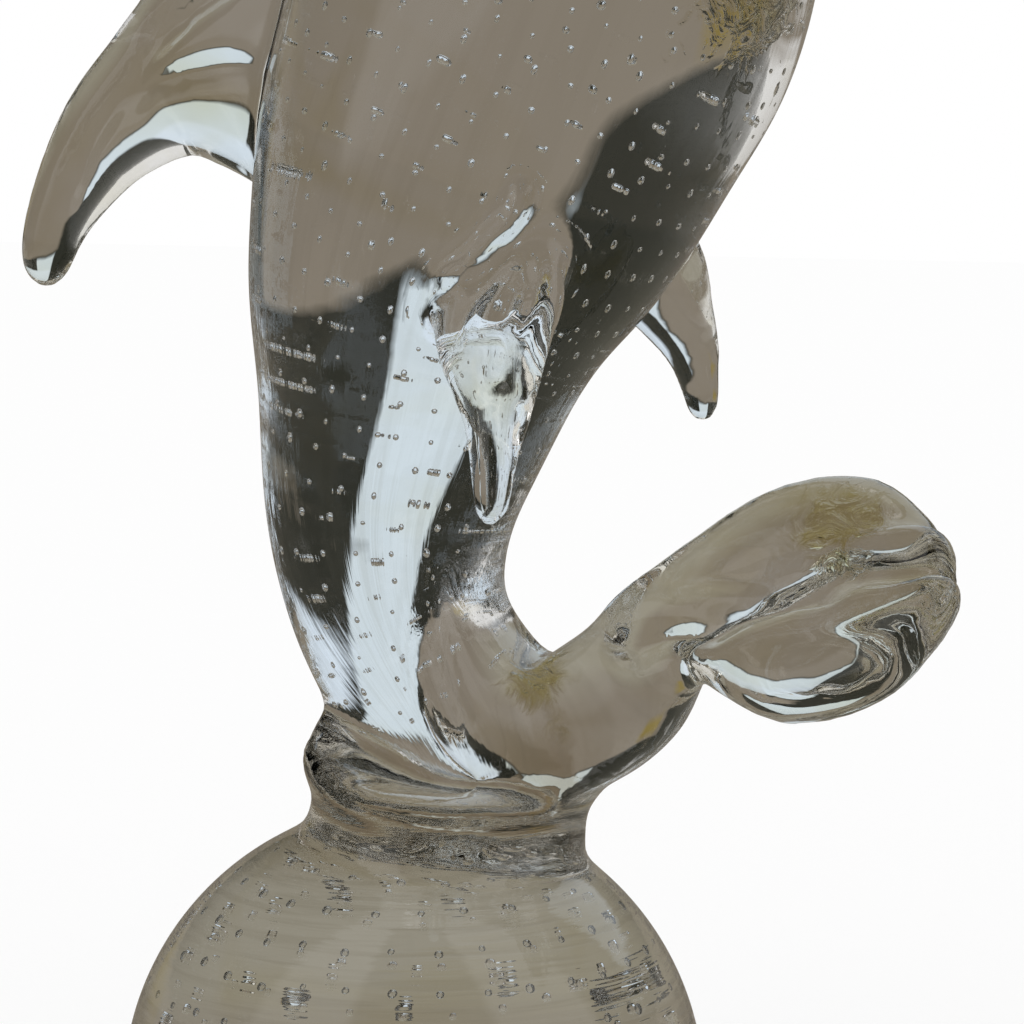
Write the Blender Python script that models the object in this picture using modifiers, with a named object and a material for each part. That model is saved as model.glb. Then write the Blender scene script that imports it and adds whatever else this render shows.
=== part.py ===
"""Bubble glass dolphin figurine.

A solid glass dolphin leaps straight up from a glass ball.
Its tail bends in a heel, which sits in a ragged collar on the crown of the ball.
Units in this file are millimetres until a mesh is written, which is in metres.
+X is the dolphin's belly side, +Y its left, +Z is up.
The origin is the middle of the ball's flat foot.
"""
import math

import bmesh
import bpy
from mathutils import Vector

MM = 0.001

# The ball and its foot
BALL_RADIUS = 40.6
FOOT_RADIUS = 23.0
BALL_COLUMNS = 60
BALL_ROWS = 30

# The ragged collar on the ball's crown
COLLAR_RADIUS = 20.2
COLLAR_SHIFT = 5.0
COLLAR_HEIGHT = 8.6
COLLAR_DEPTH = 9.0
COLLAR_TONGUE = 8.0
COLLAR_WAVE = 0.75
COLLAR_COLUMNS = 72

# The collar's profile, from its root in the ball to its inner edge.
# Each row: share of the depth below the crown, share of the height above it, share of the radius,
# and how ragged it is there.
COLLAR_PROFILE = (
    (1.00, 0.00, 0.90, 0.0),
    (0.45, 0.00, 0.96, 0.2),
    (0.06, 0.00, 0.92, 0.6),
    (0.00, 0.20, 1.03, 0.9),
    (0.00, 0.42, 1.00, 1.0),
    (0.00, 0.50, 0.90, 1.0),
)
COLLAR_HOLLOW = 0.3

# Waves round the collar; each row: how many, strength, phase.
COLLAR_WAVES = (
    (3, 1.0, 0.6),
    (7, 0.5, 0.0),
)
COLLAR_WAVE_LIFT = 0.5

# Clearance between the dolphin and the collar that holds it
SEAT_GAP = 0.3

# How finely the fused figure is modelled
RING_POINTS = 40
STEPS_PER_SPAN = 6
CAP_RINGS = 5
FUSE_VOXEL = 1.9
SMOOTHING_STEPS = 8
SMOOTHING_SHARE = 0.5
FIGURE_FACES_KEPT = 0.19

# Body, from the round forehead down to the heel in the collar.
# In every table of the dolphin x is forwards, y is to its left, and z is up from the ball's crown.
# Each row: x, y, z, half depth in the plane of symmetry, half width.
BODY = (
    (49.0, 0.0, 160.2, 11.5, 10.5),
    (47.0, 0.0, 157.0, 16.5, 14.8),
    (43.8, 0.0, 152.0, 21.0, 18.8),
    (39.2, 0.0, 144.6, 25.4, 22.8),
    (33.4, 0.0, 135.4, 30.0, 27.0),
    (26.7, 0.0, 124.2, 33.3, 30.6),
    (20.3, 0.0, 110.7, 34.6, 32.0),
    (14.2, 0.0, 97.2, 32.6, 32.0),
    (8.2, 0.0, 83.5, 30.0, 31.0),
    (2.9, 0.0, 70.0, 25.5, 27.4),
    (-0.5, 0.0, 56.2, 21.2, 22.1),
    (-3.3, 0.0, 42.2, 18.0, 17.0),
    (-3.1, 0.0, 31.1, 16.1, 13.5),
    (-0.6, 0.0, 21.5, 15.0, 9.2),
    (3.6, 0.0, 12.0, 13.0, 5.4),
    (8.0, 0.0, 3.6, 10.5, 3.2),
)

# Tail stalk, from the belly side of the heel, bent round and up to the root of the fluke.
# Each row: x, y, z, half depth, half width.
STALK = (
    (7.4, 0.0, 30.0, 3.4, 8.6),
    (9.6, 0.0, 22.0, 6.4, 9.6),
    (14.0, 0.0, 14.4, 8.8, 10.2),
    (22.6, 0.0, 12.2, 9.4, 10.4),
    (30.2, 0.0, 17.0, 9.6, 9.8),
    (35.0, 0.0, 22.2, 8.2, 8.6),
    (38.6, 0.0, 25.7, 6.4, 7.0),
)

# Short beak, on the belly side of the forehead.
# Each row: x, y, z, half depth, half width.
BEAK = (
    (50.0, 0.0, 144.0, 11.0, 12.0),
    (56.5, 0.0, 154.0, 7.8, 9.4),
    (62.5, 0.0, 162.5, 5.4, 7.0),
    (68.0, 0.0, 169.4, 4.2, 5.4),
    (71.0, 0.0, 172.6, 3.6, 4.6),
)

# Dorsal fin, in the plane of symmetry, swept back towards the tail.
# Each row: x, y, z, half chord, half thickness.
DORSAL_FIN = (
    (4.0, 0.0, 113.0, 28.0, 6.0),
    (-8.0, 0.0, 110.4, 27.0, 7.4),
    (-18.6, 0.0, 106.8, 25.6, 8.2),
    (-26.5, 0.0, 103.5, 21.4, 7.8),
    (-33.5, 0.0, 100.9, 15.0, 7.0),
    (-39.0, 0.0, 98.2, 10.8, 6.0),
    (-46.8, 0.0, 92.2, 8.2, 5.4),
    (-52.6, 0.0, 84.9, 6.3, 4.7),
    (-56.4, 0.0, 78.0, 4.9, 4.2),
    (-57.4, 0.0, 73.6, 4.2, 4.0),
)

# One pectoral fin, on the near side.
# The far one is its mirror image, with its tip held a little higher and its root a little further forwards.
# Each row: x, y, z, half chord, half thickness.
PECTORAL_FIN = (
    (25.0, -18.5, 86.5, 2.6, 3.0),
    (24.4, -20.4, 80.0, 6.8, 4.2),
    (24.0, -23.4, 73.0, 9.2, 4.8),
    (24.8, -27.6, 67.0, 8.4, 4.8),
    (26.9, -31.8, 59.8, 5.8, 4.3),
    (27.9, -34.4, 54.4, 4.2, 3.7),
    (28.2, -36.0, 49.0, 3.3, 3.2),
    (28.3, -36.6, 45.6, 3.0, 3.0),
)
FAR_FIN_LIFT = 7.6
FAR_FIN_FORWARD = 2.2

# The two lobes of the fluke and the web between them; the near lobe is turned down, the far one up.
# Each row: x, y, z, half span, half thickness.
NEAR_LOBE = (
    (34.0, 0.5, 23.6, 6.0, 7.0),
    (43.0, -2.4, 25.9, 5.0, 6.2),
    (50.5, -5.0, 25.3, 7.0, 5.8),
    (59.0, -7.2, 24.8, 9.2, 5.4),
    (68.6, -9.2, 27.0, 8.5, 5.0),
    (76.2, -9.4, 31.4, 5.0, 4.4),
    (79.2, -8.6, 34.2, 3.4, 3.6),
)
FAR_LOBE = (
    (35.0, -0.5, 25.4, 6.4, 7.0),
    (44.2, 3.0, 32.0, 7.6, 6.0),
    (53.0, 7.0, 37.8, 8.4, 5.4),
    (61.6, 9.2, 40.2, 7.4, 5.0),
    (67.6, 9.0, 38.8, 5.2, 4.4),
    (70.0, 8.0, 38.0, 4.2, 4.0),
)
WEB = (
    (40.0, 0.0, 25.0, 6.0, 4.4),
    (52.0, 0.0, 30.0, 8.0, 4.0),
    (63.0, 0.0, 33.0, 8.2, 3.8),
    (72.0, 0.0, 35.4, 7.4, 3.6),
    (75.5, 0.0, 36.2, 6.4, 3.4),
)
FLUKE_ROLL = math.radians(55.0)

# How boxy the sections of the stalk and the fluke are; 2 is an ellipse
FLAT_SIDED = 3.0

# The glass
GLASS_TINT = (0.80, 0.78, 0.74, 1.0)
BASE_TINT = (0.76, 0.74, 0.70, 1.0)
GLASS_ROUGHNESS = 0.03
GLASS_INDEX = 1.5


def clear_scene():
    """Start from an empty file."""
    for old in list(bpy.data.objects):
        bpy.data.objects.remove(old, do_unlink=True)


def make_collection(name):
    """A new collection in the scene."""
    collection = bpy.data.collections.new(name)
    bpy.context.scene.collection.children.link(collection)
    return collection


def make_glass(name, tint):
    """Clear glass with a faint smoky tint."""
    material = bpy.data.materials.new(name)
    material.use_nodes = True
    shader = material.node_tree.nodes["Principled BSDF"]
    shader.inputs["Base Color"].default_value = tint
    shader.inputs["Roughness"].default_value = GLASS_ROUGHNESS
    shader.inputs["IOR"].default_value = GLASS_INDEX
    shader.inputs["Transmission Weight"].default_value = 1.0
    return material


def smooth_rows(rows, steps):
    """Rows of numbers along a smooth curve through the given rows."""
    last = len(rows) - 1
    result = []
    for span in range(last):
        before = rows[max(span - 1, 0)]
        start = rows[span]
        end = rows[span + 1]
        after = rows[min(span + 2, last)]
        for step in range(steps):
            t = step / steps
            row = []
            for a, b, c, d in zip(before, start, end, after):
                bend = (2 * a - 5 * b + 4 * c - d) * t * t
                twist = (3 * b - a - 3 * c + d) * t * t * t
                row.append(0.5 * (2 * b + (c - a) * t + bend + twist))
            result.append(row)
    result.append(list(rows[last]))
    return result


def blunt(value, power):
    """A cosine or sine, pushed outwards to make an ellipse boxier."""
    return math.copysign(abs(value) ** (2.0 / power), value)


def add_ring(bm, centre, deep, wide, half_depth, half_width, power):
    """One oval of points round a path; an ellipse where the power is 2."""
    ring = []
    for index in range(RING_POINTS):
        angle = 2 * math.pi * index / RING_POINTS
        point = centre + deep * (half_depth * blunt(math.cos(angle), power))
        point += wide * (half_width * blunt(math.sin(angle), power))
        ring.append(bm.verts.new(point * MM))
    return ring


def bridge(bm, first, second):
    """Faces between two rings of equal count."""
    count = len(first)
    for index in range(count):
        following = (index + 1) % count
        bm.faces.new((first[index], first[following], second[following], second[index]))


def close_end(bm, ring, pole, forward):
    """A fan of faces from a ring to its pole."""
    count = len(ring)
    for index in range(count):
        following = (index + 1) % count
        if forward:
            bm.faces.new((ring[index], ring[following], pole))
        else:
            bm.faces.new((ring[following], ring[index], pole))


def loft(bm, rows, across, power=2.0):
    """A closed limb of oval sections along a path, with round ends."""
    path = smooth_rows(rows, STEPS_PER_SPAN)
    centres = [Vector(row[:3]) for row in path]
    frames = []
    for index, row in enumerate(path):
        ahead = centres[min(index + 1, len(path) - 1)]
        behind = centres[max(index - 1, 0)]
        along = (ahead - behind).normalized()
        wide = (across - along * across.dot(along)).normalized()
        deep = wide.cross(along)
        frames.append((centres[index], along, deep, wide, row[3], row[4]))

    rings = []
    centre, along, deep, wide, half_depth, half_width = frames[0]
    reach = min(half_depth, half_width)
    start_pole = bm.verts.new((centre - along * reach) * MM)
    for step in range(CAP_RINGS, 0, -1):
        turn = 0.5 * math.pi * step / (CAP_RINGS + 1)
        middle = centre - along * (reach * math.sin(turn))
        size = math.cos(turn)
        rings.append(add_ring(bm, middle, deep, wide, half_depth * size, half_width * size, power))
    for centre, along, deep, wide, half_depth, half_width in frames:
        rings.append(add_ring(bm, centre, deep, wide, half_depth, half_width, power))
    reach = min(half_depth, half_width)
    for step in range(1, CAP_RINGS + 1):
        turn = 0.5 * math.pi * step / (CAP_RINGS + 1)
        middle = centre + along * (reach * math.sin(turn))
        size = math.cos(turn)
        rings.append(add_ring(bm, middle, deep, wide, half_depth * size, half_width * size, power))
    end_pole = bm.verts.new((centre + along * reach) * MM)

    for first, second in zip(rings, rings[1:]):
        bridge(bm, first, second)
    close_end(bm, rings[0], start_pole, False)
    close_end(bm, rings[-1], end_pole, True)


def mirrored_fin(rows):
    """The pectoral fin's rows on the other side of the body."""
    root_height = rows[0][2]
    drop = root_height - rows[-1][2]
    result = []
    for x, y, z, chord, thickness in rows:
        share = (root_height - z) / drop
        forwards = FAR_FIN_FORWARD * (1.0 - share) ** 2
        result.append((x + forwards, -y, z + FAR_FIN_LIFT * share, chord, thickness))
    return result


def figure_mesh(crown):
    """Every limb of the dolphin in one mesh, overlapping where they are fused."""
    bm = bmesh.new()
    sideways = Vector((0.0, 1.0, 0.0))
    forward = Vector((1.0, 0.0, 0.0))
    lobe_side = Vector((0.0, math.sin(FLUKE_ROLL), -math.cos(FLUKE_ROLL)))
    loft(bm, BODY, sideways)
    loft(bm, STALK, sideways, FLAT_SIDED)
    loft(bm, BEAK, sideways)
    loft(bm, DORSAL_FIN, sideways)
    for fin in (PECTORAL_FIN, mirrored_fin(PECTORAL_FIN)):
        turned = [(x, y, z, thickness, chord) for x, y, z, chord, thickness in fin]
        loft(bm, turned, forward)
    for lobe in (NEAR_LOBE, FAR_LOBE, WEB):
        loft(bm, lobe, lobe_side, FLAT_SIDED)
    bmesh.ops.translate(bm, verts=bm.verts, vec=(0.0, 0.0, crown * MM))
    bmesh.ops.recalc_face_normals(bm, faces=bm.faces)
    mesh = bpy.data.meshes.new("figure")
    bm.to_mesh(mesh)
    bm.free()
    return mesh


def fuse(piece):
    """Melt the overlapping limbs of a piece into one smooth body."""
    remesh = piece.modifiers.new("fuse", "REMESH")
    remesh.mode = "VOXEL"
    remesh.voxel_size = FUSE_VOXEL * MM
    smooth = piece.modifiers.new("soften", "SMOOTH")
    smooth.factor = SMOOTHING_SHARE
    smooth.iterations = SMOOTHING_STEPS
    thin = piece.modifiers.new("thin out", "DECIMATE")
    thin.ratio = FIGURE_FACES_KEPT


def make_dolphin(collection, crown):
    """The dolphin, one solid from beak to fluke, standing on the ball's crown."""
    dolphin = bpy.data.objects.new("dolphin", figure_mesh(crown))
    collection.objects.link(dolphin)
    fuse(dolphin)
    dolphin.data.materials.append(make_glass("dolphin_glass", GLASS_TINT))


def make_seat_cutter(collection, crown):
    """The dolphin's own surface moved out by the seat's clearance."""
    cutter = bpy.data.objects.new("seat_cutter", figure_mesh(crown))
    collection.objects.link(cutter)
    fuse(cutter)
    swell = cutter.modifiers.new("clearance", "DISPLACE")
    swell.strength = SEAT_GAP * MM
    swell.mid_level = 0.0
    cutter.hide_render = True
    cutter.display_type = "WIRE"
    return cutter


def collar_point(angle, height, share, ragged, crown):
    """One point of the collar's wavy skin."""
    wave = 0.0
    for count, strength, phase in COLLAR_WAVES:
        wave += COLLAR_WAVE * ragged * strength * math.sin(count * angle + phase)
    radius = COLLAR_RADIUS * share + wave
    behind = max(0.0, -math.cos(angle)) ** 2
    lift = ragged * COLLAR_TONGUE * behind + ragged * COLLAR_WAVE_LIFT * wave
    x = COLLAR_SHIFT + radius * math.cos(angle)
    y = radius * math.sin(angle)
    return Vector((x, y, crown + height + lift)) * MM


def make_collar(collection, crown):
    """A ring of folded glass round the crown of the ball, higher behind the dolphin's back."""
    bm = bmesh.new()
    rings = []
    for below, above, share, ragged in COLLAR_PROFILE:
        height = COLLAR_HEIGHT * above - COLLAR_DEPTH * below
        ring = []
        for index in range(COLLAR_COLUMNS):
            angle = 2 * math.pi * index / COLLAR_COLUMNS
            ring.append(bm.verts.new(collar_point(angle, height, share, ragged, crown)))
        rings.append(ring)
    for first, second in zip(rings, rings[1:]):
        bridge(bm, first, second)
    floor_pole = bm.verts.new(Vector((COLLAR_SHIFT, 0.0, crown - COLLAR_DEPTH)) * MM)
    top_pole = bm.verts.new(Vector((COLLAR_SHIFT, 0.0, crown + COLLAR_HEIGHT * COLLAR_HOLLOW)) * MM)
    close_end(bm, rings[0], floor_pole, False)
    close_end(bm, rings[-1], top_pole, True)
    bmesh.ops.recalc_face_normals(bm, faces=bm.faces)
    mesh = bpy.data.meshes.new("collar")
    bm.to_mesh(mesh)
    bm.free()
    collar = bpy.data.objects.new("collar_form", mesh)
    collection.objects.link(collar)
    collar.hide_render = True
    collar.display_type = "WIRE"
    return collar


def make_ball_base(collection, collar, seat_cutter, ball_height):
    """The ball with its flat foot, its collar and the seat for the dolphin's heel."""
    bm = bmesh.new()
    bmesh.ops.create_uvsphere(
        bm, u_segments=BALL_COLUMNS, v_segments=BALL_ROWS, radius=BALL_RADIUS * MM
    )
    bmesh.ops.translate(bm, verts=bm.verts, vec=(0.0, 0.0, ball_height * MM))
    cut = bmesh.ops.bisect_plane(
        bm,
        geom=bm.verts[:] + bm.edges[:] + bm.faces[:],
        plane_co=(0.0, 0.0, 0.0),
        plane_no=(0.0, 0.0, -1.0),
        clear_outer=True,
    )
    rim = [item for item in cut["geom_cut"] if isinstance(item, bmesh.types.BMEdge)]
    bmesh.ops.contextual_create(bm, geom=rim)
    bmesh.ops.recalc_face_normals(bm, faces=bm.faces)
    mesh = bpy.data.meshes.new("ball_base")
    bm.to_mesh(mesh)
    bm.free()
    base = bpy.data.objects.new("ball_base", mesh)
    collection.objects.link(base)
    join = base.modifiers.new("collar", "BOOLEAN")
    join.operation = "UNION"
    join.object = collar
    seat = base.modifiers.new("seat", "BOOLEAN")
    seat.operation = "DIFFERENCE"
    seat.object = seat_cutter
    base.data.materials.append(make_glass("base_glass", BASE_TINT))


def main():
    clear_scene()
    parts = make_collection("bubble_glass_dolphin")
    cutters = make_collection("cutters")
    ball_height = math.sqrt(BALL_RADIUS ** 2 - FOOT_RADIUS ** 2)
    crown = ball_height + BALL_RADIUS
    make_dolphin(parts, crown)
    seat_cutter = make_seat_cutter(cutters, crown)
    collar = make_collar(cutters, crown)
    make_ball_base(parts, collar, seat_cutter, ball_height)


main()
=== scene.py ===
"""Looks of the bubble glass dolphin figurine: fused glass, air bubbles and a plain studio."""
import math

import bmesh
import bpy
import numpy as np
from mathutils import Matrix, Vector


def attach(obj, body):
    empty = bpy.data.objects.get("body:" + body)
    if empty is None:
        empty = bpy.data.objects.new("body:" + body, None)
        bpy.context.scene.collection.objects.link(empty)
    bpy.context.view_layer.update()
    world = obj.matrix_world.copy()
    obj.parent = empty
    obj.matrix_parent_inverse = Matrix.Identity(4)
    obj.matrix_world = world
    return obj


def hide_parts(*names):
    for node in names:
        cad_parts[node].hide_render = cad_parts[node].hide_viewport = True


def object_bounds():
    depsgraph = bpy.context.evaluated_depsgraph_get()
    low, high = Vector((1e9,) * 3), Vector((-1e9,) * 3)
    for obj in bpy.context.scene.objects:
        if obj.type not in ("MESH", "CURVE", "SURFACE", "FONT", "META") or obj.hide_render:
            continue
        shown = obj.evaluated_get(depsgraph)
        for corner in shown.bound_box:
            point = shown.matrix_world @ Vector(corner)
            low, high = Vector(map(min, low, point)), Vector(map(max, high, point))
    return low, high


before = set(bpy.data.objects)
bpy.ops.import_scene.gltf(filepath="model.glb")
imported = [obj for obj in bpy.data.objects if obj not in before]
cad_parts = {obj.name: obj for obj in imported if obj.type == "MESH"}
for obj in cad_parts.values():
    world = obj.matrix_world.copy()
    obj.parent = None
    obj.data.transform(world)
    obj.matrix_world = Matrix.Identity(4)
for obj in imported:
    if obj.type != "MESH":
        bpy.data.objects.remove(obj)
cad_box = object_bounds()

MM = 0.001

# Camera, at the photograph's viewing angle
CAMERA_AZIMUTH = math.radians(24.0)
CAMERA_ELEVATION = math.radians(6.0)
CAMERA_DISTANCE = 0.600
CAMERA_LENS = 155.0
CAMERA_TARGET = Vector((0.01495, 0.0, 0.11534))
CAMERA_SENSOR = 36.0
CAMERA_CLIP_START = 0.01

# How many times light may pass through glass or bounce
MAX_BOUNCES = 24
GLOSSY_BOUNCES = 8

# The ball and its foot, millimetres
BALL_RADIUS = 40.6
FOOT_RADIUS = 23.0
BALL_HEIGHT = math.sqrt(BALL_RADIUS ** 2 - FOOT_RADIUS ** 2)
CROWN = BALL_HEIGHT + BALL_RADIUS
CROWN_LIFT = np.array((0.0, 0.0, CROWN))
BALL_COLUMNS = 128
BALL_ROWS = 64

# The ragged collar on the ball's crown, millimetres
COLLAR_RADIUS = 20.2
COLLAR_SHIFT = 5.0
COLLAR_HEIGHT = 8.6
COLLAR_DEPTH = 9.0
COLLAR_TONGUE = 8.0
COLLAR_WAVE = 0.75
COLLAR_COLUMNS = 96
# Share of the depth below the crown, share of the height above it, share of the radius, raggedness
COLLAR_PROFILE = (
    (1.00, 0.00, 0.90, 0.0),
    (0.45, 0.00, 0.96, 0.2),
    (0.06, 0.00, 0.92, 0.6),
    (0.00, 0.20, 1.03, 0.9),
    (0.00, 0.42, 1.00, 1.0),
    (0.00, 0.50, 0.90, 1.0),
)
COLLAR_PROFILE_STEPS = 4
COLLAR_HOLLOW = 0.3
# Waves round the collar: how many, how strong, and their phase
COLLAR_WAVES = (
    (3, 1.0, 0.6),
    (7, 0.5, 0.0),
)
COLLAR_WAVE_LIFT = 0.5

# How finely the fused figure is modelled
RING_POINTS = 64
STEPS_PER_SPAN = 8
CAP_RINGS = 8
FUSE_VOXEL = 1.0
FUSE_SMOOTHING = 24
CRISP_SMOOTHING = 7
LAST_SMOOTHING = 3
RELAX_SHARE = 0.5

# Creases drawn into the fused glass, on the side towards the camera, millimetres. Each one: half
# width, how deep it is (below 0 it is a ridge), and its points x, y, z from the ball's crown.
CREASES = (
    (1.3, 2.4, (
        (-33.0, -6, 108.6), (-37.1, -6, 104.8), (-42.0, -6, 98.0),
        (-46.6, -6, 92.0), (-49.6, -5, 87.0), (-51.0, -5, 81.5),
    )),
    (1.8, 2.6, (
        (-38.5, -6, 103.4), (-35.0, -6, 106.6), (-28.0, -6, 111.2), (-19.2, -7, 115.4), (-10.0, -8, 118.0),
    )),
    (1.5, 2.2, (
        (-41.9, -6, 94.8), (-39.6, -6, 97.6), (-35.0, -7, 99.6), (-25.5, -8, 101.4), (-19.0, -9, 100.7),
    )),
    (2.8, 3.6, (
        (33.0, -7, 22.6), (36.3, -7, 25.0), (44.3, -8, 28.0),
        (50.2, -7, 31.6), (57.2, -4, 34.2), (64.0, -3, 35.0),
    )),
    (1.2, 1.4, ((9.6, -10, 36.0), (8.0, -10, 30.4), (8.5, -9, 23.5), (9.9, -8, 16.5), (12.0, -8, 12.0))),
    (1.0, 1.3, ((21.0, -10, 25.0), (23.4, -10, 19.2), (24.6, -10, 14.0), (27.0, -8, 6.4))),
    (1.2, 1.6, ((29.6, -23, 78.0), (30.6, -27, 73.0), (30.4, -30, 66.0), (31.4, -31, 60.0))),
    (1.2, -2.8, (
        (25.8, -20, 86.6), (24.4, -20, 82.4), (22.0, -22, 79.0), (19.4, -24, 75.8), (15.4, -25, 73.4),
    )),
    (1.3, 1.5, ((24.6, -22, 78.6), (22.4, -25, 74.2), (19.6, -27, 69.8), (19.6, -29, 64.0))),
    (1.3, 1.5, ((27.0, -24, 75.0), (26.0, -27, 70.0), (27.6, -29, 65.4), (26.6, -31, 60.4))),
    (1.0, 1.8, ((-8.8, -16, 9.1), (-4.9, -16, 4.8), (1.4, -16, 1.5), (10.0, -16, -0.6), (20.3, -16, -0.6))),
    (1.0, 1.6, (
        (-6.7, -16, 11.9), (-1.6, -16, 8.7), (5.6, -16, 6.5),
        (14.5, -16, 5.2), (26.1, -16, 5.4), (32.6, -16, 6.7),
    )),
    (1.0, -1.5, ((-2.7, -16, 2.9), (4.8, -16, 2.6), (13.0, -16, 2.4), (23.2, -16, 2.7), (31.2, -16, 2.8))),
)
# Points along each span of a crease, and how quickly it fades in at its ends
CREASE_STEPS = 12
CREASE_FADE = 8.0
# How far a surface must face the camera, and how close to a line of sight it must lie, to take a
# crease; the lines of sight rise a little towards the camera
CREASE_FACING = 0.2
CREASE_REACH = 1.6
SIGHT_RISE = 0.105

# Where the glass stays crisp: x, y, z and reach, and how full a place is before it fades
CRISP_PLACES = (
    (60.0, 0.0, 32.0, 26.0),
    (5.0, 0.0, 6.0, 24.0),
    (24.0, -28.0, 66.0, 18.0),
    (-45.0, 0.0, 95.0, 22.0),
)
PLACE_FULLNESS = 1.6
# Amber and gold in the glass: x, y, z, reach and strength
GOLD_PLACES = (
    (22.4, -9.0, 20.6, 4.4, 1.0),
    (26.4, -8.0, 13.5, 2.6, 0.9),
    (26.6, -7.0, 8.0, 1.8, 0.9),
    (60.0, -14.0, 110.5, 11.0, 0.9),
    (61.0, 4.0, 41.0, 6.4, 1.0),
    (63.0, 1.0, 35.5, 4.6, 0.9),
    (19.0, -24.0, 66.0, 5.0, 0.5),
    (-5.0, -14.0, 10.0, 4.0, 0.5),
    (-41.5, 0.0, 88.6, 1.4, 1.0),
)

# The glass
GLASS_INDEX = 1.5
GLASS_CLEAR = (0.955, 0.95, 0.935, 1.0)
GLASS_OLIVE = (0.80, 0.74, 0.52, 1.0)
GLASS_GOLD = (0.52, 0.42, 0.13, 1.0)
GLASS_BROWN = (0.60, 0.53, 0.42, 1.0)
GLASS_STREAK = (0.55, 0.52, 0.44, 1.0)
STREAK_START = 0.50
STREAK_SHARPNESS = 9.0
SWIRL_NOISE = {"Scale": 26.0, "Detail": 3.0, "Distortion": 1.4}
OLIVE_START = 0.52
OLIVE_FULL = 0.74
CRUMPLE_NOISE = {"Scale": 230.0, "Detail": 3.0, "Distortion": 2.0}
CRUMPLE_STRENGTH = 0.9
CRUMPLE_DEPTH = 0.0035
GOLD_START = 0.72
GOLD_SHARPNESS = 2.4
LINE_NOISE = {"Scale": 1.0, "Detail": 2.0, "Roughness": 0.55}
LINE_DEPTH = 0.0002

# The skin of the air bubbles
AIR_NOISE = {"Scale": 900.0, "Detail": 1.0}
AIR_BUMP = {"Strength": 0.08, "Distance": 0.00005}

# How fast the drawn lines change, round and along the body and the ball
FLOW_ROUND = 14.0
FLOW_ALONG = 0.02
FLOW_BALL_ROUND = 1.2
FLOW_BALL_DOWN = 26.0
# Heights from the crown, millimetres, over which the ball's flow turns into the body's
FLOW_CHANGE = (-2.0, 4.0)

# Brown smoke in the collar, millimetres: where it starts from the axis, how soft its edge is, how
# far past the collar it reaches, and how strong it is at heights above the crown
SMOKE_INSIDE = 13.0
SMOKE_EDGE = 4.0
SMOKE_PAST = 3.0
SMOKE_HEIGHTS = (-9.0, -4.0, 9.0, 15.0)
SMOKE_STRENGTHS = (0.0, 1.0, 1.0, 0.0)

# How strongly the drawn lines show at heights above the crown, millimetres
LINE_HEIGHTS = (-60.0, -26.0, -8.0, 0.0, 8.0, 14.0, 40.0, 90.0, 110.0)
LINE_STRENGTHS = (0.12, 0.30, 0.42, 0.34, 0.25, 0.24, 0.28, 0.16, 0.06)

# The studio: colour, then lowest and highest azimuth, lowest and highest elevation, and softness of
# the edges, in degrees. They lie over the backdrop, and each one over those before it.
BACKDROP = (0.235, 0.205, 0.165, 1.0)
PALE_BACKDROP = (0.31, 0.29, 0.235, 1.0)
ROOM = (0.018, 0.020, 0.016, 1.0)
SKY = (0.72, 0.83, 0.95, 1.0)
PANEL = (0.66, 0.76, 0.83, 1.0)
GOLD = (0.26, 0.20, 0.06, 1.0)
LIGHT = (2.2, 2.2, 2.2, 1.0)
SIDE_LIGHT = (0.8, 0.8, 0.8, 1.0)
STUDIO_CARDS = (
    (PALE_BACKDROP, (-181.0, 181.0, -200.0, -20.0, 14.0)),
    (ROOM, (-181.0, 181.0, 8.5, 200.0, 1.5)),
    (ROOM, (58.0, 94.0, -14.0, 10.0, 5.0)),
    (ROOM, (-106.0, -58.0, -14.0, 10.0, 5.0)),
    (PANEL, (-14.0, 10.5, 9.6, 200.0, 1.5)),
    (SKY, (-14.0, 60.0, 20.0, 75.0, 3.0)),
    (GOLD, (-47.0, -28.0, 0.0, 6.5, 4.0)),
    (LIGHT, (-181.0, 181.0, 82.0, 200.0, 6.0)),
    (SIDE_LIGHT, (92.0, 140.0, -4.0, 200.0, 6.0)),
    (SIDE_LIGHT, (-150.0, -104.0, -4.0, 200.0, 6.0)),
)
# Degrees in a radian
DEGREES = 57.2958
PAPER_WHITE = (1.0, 1.0, 1.0, 1.0)
FLOOR_REACH = 3.0
FLOOR_COLOUR = (0.985, 0.985, 0.985, 1.0)

# Rows of the limbs: x, y, z, half depth, half width, in millimetres
BODY = (
    (49.0, 0.0, 160.2, 11.5, 10.5),
    (47.0, 0.0, 157.0, 16.5, 14.8),
    (43.8, 0.0, 152.0, 21.0, 18.8),
    (39.2, 0.0, 144.6, 25.4, 22.8),
    (33.4, 0.0, 135.4, 30.0, 27.0),
    (26.7, 0.0, 124.2, 33.3, 30.6),
    (20.3, 0.0, 110.7, 34.6, 32.0),
    (14.2, 0.0, 97.2, 32.6, 32.0),
    (8.2, 0.0, 83.5, 30.0, 31.0),
    (2.9, 0.0, 70.0, 25.5, 27.4),
    (-0.5, 0.0, 56.2, 21.2, 22.1),
    (-3.3, 0.0, 42.2, 18.0, 17.0),
    (-3.1, 0.0, 31.1, 16.1, 13.5),
    (-0.6, 0.0, 21.5, 15.0, 9.2),
    (3.6, 0.0, 12.0, 13.0, 5.4),
    (8.0, 0.0, 3.6, 10.5, 3.2),
)
STALK = (
    (7.4, 0.0, 30.0, 3.4, 8.6),
    (9.6, 0.0, 22.0, 6.4, 9.6),
    (14.0, 0.0, 14.4, 8.8, 10.2),
    (22.6, 0.0, 12.2, 9.4, 10.4),
    (30.2, 0.0, 17.0, 9.6, 9.8),
    (35.0, 0.0, 22.2, 8.2, 8.6),
    (38.6, 0.0, 25.7, 6.4, 7.0),
)
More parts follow.
